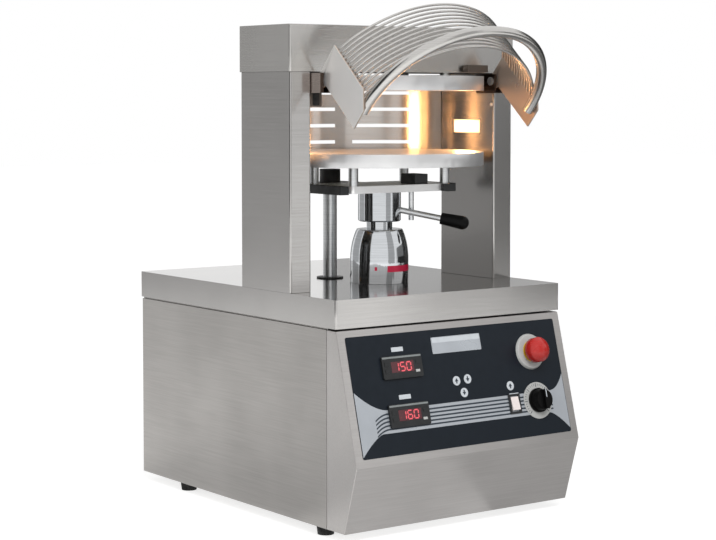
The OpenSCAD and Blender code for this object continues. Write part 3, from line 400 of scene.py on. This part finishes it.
# %% Rounded edges
SHARP_DEG = 35
WELD_MM = 0.01
edge_radius_mm = {
    "worktop_cap": 1.2, "front_fascia": 1.2, "left_side_panel": 0.6, "right_side_panel": 0.6,
    "left_upright": 0.6, "right_upright": 0.6, "header_box": 1.0, "guard_side_plates": 0.6,
    "hinge_brackets": 0.8, "carrier_plate": 1.0, "upper_platen": 1.0, "lower_platen": 1.0,
    "bell_cover": 0.6, "terminal_blocks": 1.0, "guard_switch": 0.8, "thermostats": 0.6,
    "switch_frame": 0.4, "timer_knob": 0.8, "start_rocker": 0.5, "guide_arm": 1.0, "guide_bush": 0.6,
    "stop_base": 0.8, "feet": 1.0, "lamp_lenses": 0.5, "stop_button": 0.8,
}
for name, radius in edge_radius_mm.items():
    weld = nodes[name].modifiers.new("joined corners", "WELD")
    weld.merge_threshold = WELD_MM * MM
    bevel = nodes[name].modifiers.new("edge radius", "BEVEL")
    bevel.width = radius * MM
    bevel.segments = 2
    bevel.limit_method = "ANGLE"
    bevel.angle_limit = math.radians(SHARP_DEG)
    bevel.harden_normals = True
print("solids with rounded edges:", len(edge_radius_mm))

# %% [markdown]
# The controls sit on a sloping film. A small frame of its own makes them easy to place: x across, s down
# the slope, and out from the film, all in millimetres. It is measured from the film's own box, so that
# nothing floats if the panel moves. The box includes the film's thickness, which depends on the tilt, so
# a few rounds settle both.

# %% The panel's own frame
FILM_T_MM = 0.6
FILM_TOP_S = 11.0
ROUNDS = 6
film_low, film_high = (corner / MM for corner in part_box("panel_overlay"))
tilt = 0.0
for _ in range(ROUNDS):
    back_bottom = Vector((0, film_low.y + FILM_T_MM * math.cos(tilt), film_low.z))
    back_top = Vector((0, film_high.y, film_high.z - FILM_T_MM * math.sin(tilt)))
    tilt = math.atan2(back_top.y - back_bottom.y, back_top.z - back_bottom.z)
down = (back_bottom - back_top).normalized()
out = Vector((0, -math.cos(tilt), math.sin(tilt)))


def on_panel(x, s, lift=0.0):
    return (Vector((x, 0, 0)) + back_top + down * (s - FILM_TOP_S) + out * (FILM_T_MM + lift)) * MM


print("panel tilt, degrees:", round(math.degrees(tilt), 2))

# %% [markdown]
# Trim is made from flat outlines in that frame: an outline is filled and given its thickness. Each piece
# then rides on the body that carries it and takes its finish.

# %% Making flat trim
def bridge(made, loops):
    """Four cornered faces between each loop of points and the next."""
    for first, second in zip(loops, loops[1:]):
        for i in range(len(first)):
            j = (i + 1) % len(first)
            made.faces.new((first[i], first[j], second[j], second[i]))


def ready(name, made, material, body):
    """The piece of a built mesh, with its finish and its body."""
    bmesh.ops.recalc_face_normals(made, faces=made.faces)
    mesh = bpy.data.meshes.new(name)
    made.to_mesh(mesh)
    made.free()
    piece = bpy.data.objects.new(name, mesh)
    bpy.context.scene.collection.objects.link(piece)
    mesh.materials.append(material)
    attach(piece, body)
    return piece


def plates(name, outlines, lift, thick, material, place=on_panel, body="base"):
    """Flat plates: each outline is a list of (x, s) points, and thick stands out from lift."""
    made = bmesh.new()
    for outline in outlines:
        low = [made.verts.new(place(x, s, lift)) for x, s in outline]
        high = [made.verts.new(place(x, s, lift + thick)) for x, s in outline]
        made.faces.new(high)
        made.faces.new(low[::-1])
        bridge(made, [low, high])
    return ready(name, made, material, body)


def rounded_rectangle(x, s, width, height, radius, steps=5):
    points = []
    for turn, (sx, sy) in enumerate(((1, 1), (-1, 1), (-1, -1), (1, -1))):
        cx = x + sx * (width / 2 - radius)
        cs = s + sy * (height / 2 - radius)
        for k in range(steps + 1):
            angle = math.radians(90 * (turn + k / steps))
            points.append((cx + radius * math.cos(angle), cs + radius * math.sin(angle)))
    return points


def disc(x, s, radius, steps=40):
    turn = math.tau / steps
    return [(x + radius * math.cos(k * turn), s + radius * math.sin(k * turn)) for k in range(steps)]


print("points in a disc:", len(disc(0, 0, 1)))

# %% [markdown]
# A silver band with dark lines runs across the film and flares at both ends in hollow curves. On the
# real panel it is printed ink, so here it is a skin 0.1 mm thick. The lines are a second skin on top,
# bent down at the left end.

# %% The printed band
INK_MM = 0.1
BAND_TOP, BAND_LOW = 129.0, 165.0
LEFT_X, RIGHT_X = -213.2, 213.2
LINES, LINE_HALF = 5, 1.3
LINE_START, LINE_END = LEFT_X + 33, RIGHT_X - 30
BEND_DOWN, BEND_LENGTH, BEND_STEPS = 9.0, 25, 8


def flare(x_edge, reach, s_band, rise, power, steps=14):
    """A hollow curve from the film's side to the band's edge, rise above or below the band at the side."""
    points = []
    for k in range(steps + 1):
        share = k / steps
        points.append((x_edge + reach * share, s_band + rise * (1 - share) ** power))
    return points


upper_left = flare(LEFT_X, 58, BAND_TOP, -32, 1.7)
lower_left = flare(LEFT_X, 44, BAND_LOW, 32, 1.4)
upper_right = flare(RIGHT_X, -34, BAND_TOP, -26, 2.4)
lower_right = flare(RIGHT_X, -38, BAND_LOW, 29, 1.4)
band = upper_right[::-1] + lower_right + lower_left[::-1] + upper_left
plates("panel_band", [band], 0, INK_MM, label_silver)
line_step = (BAND_LOW - BAND_TOP) / (LINES + 1)
lines = []
for k in range(1, LINES + 1):
    mid = BAND_TOP + k * line_step
    middle = []
    for i in range(BEND_STEPS + 1):
        share = i / BEND_STEPS
        middle.append((LINE_START + BEND_LENGTH * share, mid + BEND_DOWN * (1 - share) ** 2))
    middle.append((LINE_END, mid))
    upper = [(x, s - LINE_HALF) for x, s in middle]
    lower = [(x, s + LINE_HALF) for x, s in middle]
    lines.append(upper + lower[::-1])
plates("panel_band_lines", lines, INK_MM, INK_MM, ink_dark)
print("band lines:", len(lines))

# %% [markdown]
# A blank silver plate takes the place at the top of the panel, with a lighter strip along its upper
# half, and small blank label strips lie above the two temperature controllers. Pale round buttons carry
# plain arrows, two up and two down.

# %% Blank plates and round symbols
PLATE_T, LABEL_T = 0.8, 0.3
plates("blank_plate", [rounded_rectangle(1, 36.7, 100, 26.5, 1.5)], 0, PLATE_T, label_silver)
plates("blank_plate_strip", [rounded_rectangle(1, 28.5, 97, 8, 0.6)], PLATE_T, INK_MM, ink_pale)
label_spots = [(-118, 36.5), (-117, 111.5)]
plates("label_strips", [rounded_rectangle(x, s, 23, 7, 0.8) for x, s in label_spots], 0, LABEL_T,
       ink_pale)
SYMBOL_R = 7.5
ARROW = [(-3.6, -1.0), (0, 4.2), (3.6, -1.0), (1.2, -1.0), (1.2, -4.4), (-1.2, -4.4), (-1.2, -1.0)]
symbols = [(-10, 96, -1), (13, 95, 1), (2, 116, 1), (99, 114, -1)]
plates("symbol_discs", [disc(x, s, SYMBOL_R) for x, s, _ in symbols], 0, LABEL_T, ink_pale)
arrows = [[(x + dx, s + way * ds) for dx, ds in ARROW] for x, s, way in symbols]
plates("symbol_arrows", arrows, LABEL_T, INK_MM, ink_dark)
print("symbols:", len(symbols))

# %% [markdown]
# Each temperature controller shows three red digits made of slim bars and has a few small keys. The bars
# are real geometry, just above the window, so they stay sharp from any side. Bars a, g and d lie level
# from the top down, f and b stand in the upper half, and e and c in the lower half.

# %% Digits and keys
THERMO_X = -115.0
THERMO_S = (64.5, 140.0)
READINGS = ("150", "160")
BEZEL_OUT = 4.0
BEZEL_W, BEZEL_H = 78.0, 36.0
DIGIT_W, DIGIT_H, DIGIT_STEP = 8.2, 13.0, 12.2
BAR_W, BAR_GAP, BAR_SHOULDER = 2.0, 0.5, 1.2
DIGIT_T, KEY_T, LIP_T = 0.2, 0.7, 0.4
BARS_OF = {"0": "abcdef", "1": "bc", "5": "afgcd", "6": "afgedc"}
LEVEL_BARS = {"a": -1, "g": 0, "d": 1}
UPRIGHT_BARS = {"f": (-1, -1), "b": (1, -1), "e": (-1, 1), "c": (1, 1)}


def bar(x, s, half, upright):
    """One bar with pointed ends, half its length either way from its middle."""
    tip, shoulder, side = half - BAR_GAP, half - BAR_SHOULDER, BAR_W / 2
    shape = [(-tip, 0), (-shoulder, -side), (shoulder, -side),
             (tip, 0), (shoulder, side), (-shoulder, side)]
    if upright:
        return [(x - across, s + along) for along, across in shape]
    return [(x + along, s + across) for along, across in shape]


def bars(x, s, digit):
    half_w, half_h = DIGIT_W / 2, DIGIT_H / 2
    shapes = []
    for key in BARS_OF[digit]:
        if key in LEVEL_BARS:
            shapes.append(bar(x, s + LEVEL_BARS[key] * half_h, half_w, False))
        else:
            side, row = UPRIGHT_BARS[key]
            shapes.append(bar(x + side * half_w, s + row * half_h / 2, half_h / 2, True))
    return shapes


digit_shapes = []
for s, reading in zip(THERMO_S, READINGS):
    for k, digit in enumerate(reading):
        digit_shapes += bars(THERMO_X + DIGIT_STEP * (k - 1), s, digit)
plates("display_digits", digit_shapes, BEZEL_OUT, DIGIT_T, digit_glow)
dark_keys, pale_keys, lips = [], [], []
for s in THERMO_S:
    for side, row in ((-1, -1), (-1, 1), (1, -1)):
        dark_keys.append(rounded_rectangle(THERMO_X + 30.5 * side, s + 5.5 * row, 8, 6, 1))
    pale_keys.append(rounded_rectangle(THERMO_X + 28.5, s + 8.5, 8, 4, 1))
    lips.append(rounded_rectangle(THERMO_X, s - BEZEL_H / 2 + 2.6, BEZEL_W - 2, 2.8, 0.8))
plates("controller_keys", dark_keys, BEZEL_OUT, KEY_T, black_abs)
plates("controller_pale_keys", pale_keys, BEZEL_OUT, KEY_T, pale_abs)
plates("controller_lips", lips, BEZEL_OUT, LIP_T, lip_grey)
print("digit bars:", len(digit_shapes), "keys:", len(dark_keys) + len(pale_keys))

# %% [markdown]
# The timer's scale is a ring of short strokes round the knob with a longer one at every fifth, and the
# knob has a pale pointer line. The strokes are printed on the dial, so they ride on the cabinet. The
# line rides on the knob. A pale lip edges the frame of the rocker beside it.

# %% Timer scale and pointer
TIMER_X, TIMER_S = 152.0, 143.0
DIAL_OUT = 1.0
KNOB_TOP = DIAL_OUT + 0.4 + 18 + 5
STROKES, FIRST_DEG, STEP_DEG = 31, -225, 9
LONG_STROKE = (22.5, 28.5, 0.55)
SHORT_STROKE = (24.5, 27.5, 0.35)
strokes = []
for k in range(STROKES):
    angle = math.radians(FIRST_DEG + STEP_DEG * k)
    inner, outer, half = LONG_STROKE if k % 5 == 0 else SHORT_STROKE
    along = (math.cos(angle), math.sin(angle))
    across = (-along[1] * half, along[0] * half)
    (x0, s0), (x1, s1) = [(TIMER_X + along[0] * r, TIMER_S + along[1] * r) for r in (inner, outer)]
    strokes.append([(x0 + across[0], s0 + across[1]), (x1 + across[0], s1 + across[1]),
                    (x1 - across[0], s1 - across[1]), (x0 - across[0], s0 - across[1])])
plates("timer_strokes", strokes, DIAL_OUT, INK_MM, ink_dark)
plates("knob_line", [rounded_rectangle(TIMER_X, TIMER_S - 9, 1.6, 13, 0.5)], KNOB_TOP, 0.15, ink_pale,
       body="timer")
plates("rocker_frame_lip", [rounded_rectangle(102, 127.2, 20, 1.2, 0.4)], 2.0, 0.3, ink_pale)
print("strokes:", len(strokes))

# %% [markdown]
# The stop button's base carries a thin yellow ring under the red head, and a red index mark wraps round
# the front right of the bell, where the operator reads how far the ram has come. Both are strips bent
# round an axis.

# %% Yellow ring and index mark
STOP_X, STOP_S = 152.0, 62.0
RING_STEPS = 64
RING_PROFILE = ((9.5, 5.05), (9.9, 5.9), (17.1, 5.9), (17.5, 5.05))
MARK_BACK, MARK_FACE = 0.02, 0.22
made = bmesh.new()
loops = []
for radius, lift in RING_PROFILE:
    circle = disc(STOP_X, STOP_S, radius, RING_STEPS)
    loops.append([made.verts.new(on_panel(x, s, lift)) for x, s in circle])
bridge(made, loops)
ready("stop_ring", made, yellow, "base")

bell_low, bell_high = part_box("bell_cover")
bell_r = (bell_high.x - bell_low.x) / 2


def on_bell(angle_deg, up_mm, lift_mm):
    angle = math.radians(angle_deg)
    reach = bell_r + lift_mm * MM
    return Vector((press_axis.x + reach * math.cos(angle), press_axis.y + reach * math.sin(angle),
                   bell_low.z + up_mm * MM))


def bell_mark(name, from_deg, to_deg, low_mm, high_mm, steps=14):
    made = bmesh.new()
    profile = ((low_mm, MARK_BACK), (low_mm, MARK_FACE), (high_mm, MARK_FACE), (high_mm, MARK_BACK))
    loops = []
    for k in range(steps + 1):
        angle = from_deg + (to_deg - from_deg) * k / steps
        loops.append([made.verts.new(on_bell(angle, up, lift)) for up, lift in profile])
    bridge(made, loops)
    made.faces.new(loops[0])
    made.faces.new(loops[-1])
    return ready(name, made, ink_red, "base")


bell_mark("index_mark", -111, -46, 20.5, 31)
bell_mark("index_mark_end", -136, -131, 23, 29)
print("bell radius:", round(bell_r, 4))

# %% [markdown]
# A dark moulded block with a black pad is painted shade: it darkens the shaded gap on the left upright's
# inner face, just under the hinge bracket. It is an outline across the gap with the pad on its front, and
# it stays behind the upright's front face, clear of the guard's swing.

# %% Painted shade in the gap
post_low, post_high = (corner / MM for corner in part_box("left_upright"))
bracket_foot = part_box("hinge_brackets")[0].z / MM
GAP_SHADE_W, GAP_SHADE_H, GAP_SHADE_T = 23.0, 30.0, 6.0
GAP_SHADE_DROP, GAP_SHADE_BACK = 7.0, 9.0
SHADE_PAD_T = 1.5
shade_block_x, shade_block_z = post_high.x + GAP_SHADE_W / 2, bracket_foot - GAP_SHADE_DROP


def across_gap(x, z, lift=0.0):
    return Vector((x, post_low.y + GAP_SHADE_BACK - lift, z)) * MM


# Painted shade: a dark block and a black pad stand where the gap under the hinge bracket is shaded.
shade_block_outline = rounded_rectangle(shade_block_x, shade_block_z, GAP_SHADE_W, GAP_SHADE_H, 2.5)
plates("gap_shade_block", [shade_block_outline], 0, GAP_SHADE_T, switch_abs, place=across_gap)
shade_pad_outline = rounded_rectangle(shade_block_x, shade_block_z, 12, 25, 2)
plates("gap_shade_block_pad", [shade_pad_outline], GAP_SHADE_T, SHADE_PAD_T, foot_rubber, place=across_gap)
print("gap shade block at", round(shade_block_x, 1), round(shade_block_z, 1))

# %% [markdown]
# Small fasteners give scale. The plain screw solids are replaced by domed heads with a cross slot, each
# built from rings of points: a low dome whose middle sinks along two crossing grooves.

# %% Screw heads
SCREW_R, SCREW_H = 3.5 * MM, 2.0 * MM
HEAD_STEPS, HEAD_ROWS = 32, 6
TIP_SHARE, GROOVE_HALF, GROOVE_REACH, GROOVE_DEPTH = 0.04, 0.14, 0.62, 0.45


def screw_heads(name, spots, radius, height):
    """Domed heads at (foot, outward axis) with a crossed groove."""
    made = bmesh.new()
    for foot, axis in spots:
        turn = axis.to_track_quat("Z", "Y").to_matrix()
        loops = []
        for k in range(HEAD_ROWS + 1):
            rise = k / HEAD_ROWS * math.pi / 2
            reach = radius * math.cos(rise) if k < HEAD_ROWS else radius * TIP_SHARE
            loop = []
            for i in range(HEAD_STEPS):
                angle = math.tau * i / HEAD_STEPS
                x, y = reach * math.cos(angle), reach * math.sin(angle)
                lift = height * math.sin(rise)
                if min(abs(x), abs(y)) < radius * GROOVE_HALF and reach < radius * GROOVE_REACH:
                    lift -= height * GROOVE_DEPTH
                loop.append(made.verts.new(foot + turn @ Vector((x, y, lift))))
            loops.append(loop)
        bridge(made, loops)
        made.faces.new(loops[-1])
        made.faces.new(loops[0][::-1])
    return ready(name, made, rod_steel, "base")


def loose_parts(node):
    """Centre and size of each separate solid in a node's mesh."""
    made = bmesh.new()
    made.from_mesh(nodes[node].data)
    bmesh.ops.remove_doubles(made, verts=made.verts, dist=0.001 * MM)
    seen, found = set(), []
    for start in made.verts:
        if start in seen:
            continue
        seen.add(start)
        stack, corners = [start], []
        while stack:
            vert = stack.pop()
            corners.append(vert.co.copy())
            for edge in vert.link_edges:
                other = edge.other_vert(vert)
                if other not in seen:
                    seen.add(other)
                    stack.append(other)
        low = Vector([min(c[i] for c in corners) for i in range(3)])
        high = Vector([max(c[i] for c in corners) for i in range(3)])
        found.append(((low + high) / 2, high - low))
    made.free()
    return found


spots = []
for centre, size in loose_parts("screws"):
    if size.y < size.x:
        axis = Vector((0, 1, 0))
    else:
        axis = Vector((-1 if centre.x > 0 else 1, 0, 0))
    spots.append((centre - axis * SCREW_H / 2, axis))
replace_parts(screw_heads("screw_heads", spots, SCREW_R, SCREW_H), "screws")
print("screw heads:", len(spots))

# %% [markdown]
# The studio is a white sweep. The world is white for the camera and in reflections, and gives a softer
# light to everything else. The floor is pale, shines a little so that it looks white, and still catches
# a soft shadow.

# %% World and floor
WORLD_FILL = 0.6
FLOOR_HALF, FLOOR_SHINE = 14.0, 0.70
world = bpy.data.worlds.new("white studio")
bpy.context.scene.world = world
world.use_nodes = True
sky = world.node_tree
sky.nodes.clear()
ray = add(sky, "ShaderNodeLightPath").outputs
seen = number(sky, "MAXIMUM", ray["Is Camera Ray"], ray["Is Glossy Ray"])
seen = number(sky, "MAXIMUM", seen, ray["Is Transmission Ray"])
soft = add(sky, "ShaderNodeBackground", {"Color": linear("#ffffff"), "Strength": WORLD_FILL}).outputs[0]
white = add(sky, "ShaderNodeBackground", {"Color": linear("#ffffff"), "Strength": 1.0}).outputs[0]
pick = add(sky, "ShaderNodeMixShader", {0: seen, 1: soft, 2: white}).outputs[0]
add(sky, "ShaderNodeOutputWorld", {"Surface": pick})


def sheet(name, corners, material):
    """A flat piece of the studio with four corners."""
    mesh = bpy.data.meshes.new(name)
    mesh.from_pydata(corners, [], [(0, 1, 2, 3)])
    mesh.materials.append(material)
    piece = bpy.data.objects.new(name, mesh)
    bpy.context.scene.collection.objects.link(piece)
    return piece


floor_finish, floor_tree, floor_shader = new_finish(
    "pale studio floor", Roughness=0.9, Base_Color=linear("#b4b4b3"), Emission_Color=linear("#ffffff"))
ray = add(floor_tree, "ShaderNodeLightPath").outputs
seen = number(floor_tree, "MAXIMUM", ray["Is Camera Ray"], ray["Is Glossy Ray"])
wire(floor_tree, floor_shader, Emission_Strength=number(floor_tree, "MULTIPLY", seen, FLOOR_SHINE))
floor_corners = [(sx * FLOOR_HALF, sy * FLOOR_HALF, 0) for sx, sy in ((-1, -1), (1, -1), (1, 1), (-1, 1))]
sheet("floor", floor_corners, floor_finish)
print("floor laid")

# %% [markdown]
# One large soft lamp hangs above and to the right of the camera, and a weaker one fills in from the left.
# Neither shows in reflections, since the white world is there already. A small warm lamp in front of each
# lens throws the lens's own glow on the plates and the rear sheet.

# %% Lamps
STUDIO_MID = (0, 0, 0.4)
KEY_W, FILL_W, GLOW_W = 70, 20, 0.34
GLOW_SIZE = (46 * MM, 60 * MM)
GLOW_OUT = 4 * MM


def area_lamp(name, spot, target, size, power, tint="#ffffff"):
    lamp = bpy.data.lights.new(name, "AREA")
    lamp.shape = "RECTANGLE"
    lamp.size, lamp.size_y = size
    lamp.energy = power
    lamp.color = linear(tint)[:3]
    holder = bpy.data.objects.new(name, lamp)
    bpy.context.scene.collection.objects.link(holder)
    holder.location = spot
    holder.rotation_euler = (Vector(target) - Vector(spot)).to_track_quat("-Z", "Y").to_euler()
    return holder


key_light = area_lamp("key light", (-0.9, -2.6, 2.6), STUDIO_MID, (1.8, 1.4), KEY_W)
fill_light = area_lamp("fill light", (-2.6, -1.2, 1.6), STUDIO_MID, (1.4, 1.6), FILL_W)
key_light.visible_glossy = False
fill_light.visible_glossy = False
for side in (-1, 1):
    face = (side * (lens_high.x - GLOW_OUT), lens_mid.y, lens_mid.z)
    area_lamp("lamp glow %d" % side, face, (0, lens_mid.y, lens_mid.z), GLOW_SIZE, GLOW_W, "#ffb976")
print("lamps placed")

# %% [markdown]
# Polished metal needs something darker to reflect, as in any studio. Grey and black cards stand round the
# machine and a few mats lie on the floor. They are seen only in reflections. The mats right next to the
# machine are painted shadow: they darken the floor around it as the metal sees it.

# %% Studio cards
CARD_REACH = 3.2
MAT_LIFT = 3 * MM
# A card's name, its two bearings in degrees from +X round +Z, its tone, and its low and high edge.
CARDS = (
    ("front_side_card", -56, -52, "#bababa", 0, 1.0),
    ("front_right_card", -52, -18, "#7c7c7c", 0.36, 1.0),
    ("front_right_low_card", -51, -18, "#242424", 0.02, 0.36),
    ("right_card", -18, 32, "#2c2c2c", 0, 2.4),
    ("front_card", -92, -65, "#b8b8b8", 0, 3.0),
    ("left_card", 150, 198, "#161616", 0, 3.0),
    ("left_back_card", 104, 146, "#b8b8b8", 0.05, 3.0),
    ("back_card", 35, 55.5, "#b8b8b8", 0.3, 1.6),
)
# A mat's name, its tone, and two opposite corners.
MATS = (
    ("right_mat", "#686868", (0.6, -1.0), (3.2, 1.5)),
    # left_mat, front_left_mat and front_mat are painted shadow of the floor next to the machine.
    ("left_mat", "#d4d4d4", (-1.0, -0.1), (-0.25, 0.42)),
    ("front_left_mat", "#e2e2e2", (-0.25, -0.7), (0.08, -0.2)),
    ("front_mat", "#c6c6c6", (0.08, -0.7), (0.7, -0.2)),
)


def card(name, tone, corners):
    material = new_finish(name, Roughness=1.0, Base_Color=linear("#000000"), Emission_Color=linear(tone),
                          Emission_Strength=1.0)[0]
    piece = sheet(name, corners, material)
    piece.visible_camera = piece.visible_diffuse = False
    piece.visible_shadow = piece.visible_transmission = False


for name, from_deg, to_deg, tone, low, high in CARDS:
    bearings = (math.radians(from_deg), math.radians(to_deg))
    (x0, y0), (x1, y1) = [(CARD_REACH * math.cos(a), CARD_REACH * math.sin(a)) for a in bearings]
    card(name, tone, [(x0, y0, low), (x1, y1, low), (x1, y1, high), (x0, y0, high)])
for name, tone, (x0, y0), (x1, y1) in MATS:
    card(name, tone, [(x, y, MAT_LIFT) for x, y in ((x0, y0), (x1, y0), (x1, y1), (x0, y1))])
print("cards:", len(CARDS), "mats:", len(MATS))

# %% [markdown]
# The camera stands where the photographer did: about three metres off, to the left of the front and just
# above the plates. The distance and the turn come from fitting the cabinet's edges. A small downward
# shift lets the camera tilt less, which keeps the uprights nearly parallel, as they are in the picture.

# %% Camera
PHOTO_W, PHOTO_H = 716, 540
FOCAL_PX = 1881.95
AXIS_ROW_PX = 198
SENSOR_MM = 36
CAM_X, CAM_BEFORE_FRONT, CAM_Z = -1.898615, 2.338039, 0.689140
YAW, PITCH = -0.6318224, math.radians(3.1205952)
cam_data = bpy.data.cameras.new("camera")
cam_data.sensor_width = SENSOR_MM
cam_data.lens = SENSOR_MM * FOCAL_PX / PHOTO_W
cam_data.shift_y = -(PHOTO_H / 2 - AXIS_ROW_PX) / PHOTO_W
cam = bpy.data.objects.new("camera", cam_data)
bpy.context.scene.collection.objects.link(cam)
worktop_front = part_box("worktop_cap")[0].y
cam.location = (CAM_X, worktop_front - CAM_BEFORE_FRONT, CAM_Z)
ahead = Vector((-math.sin(YAW) * math.cos(PITCH), math.cos(YAW) * math.cos(PITCH), -math.sin(PITCH)))
cam.rotation_euler = ahead.to_track_quat("-Z", "Y").to_euler()
bpy.context.scene.camera = cam
bpy.context.scene.view_settings.view_transform = "Standard"
print("lens:", round(cam_data.lens, 2))
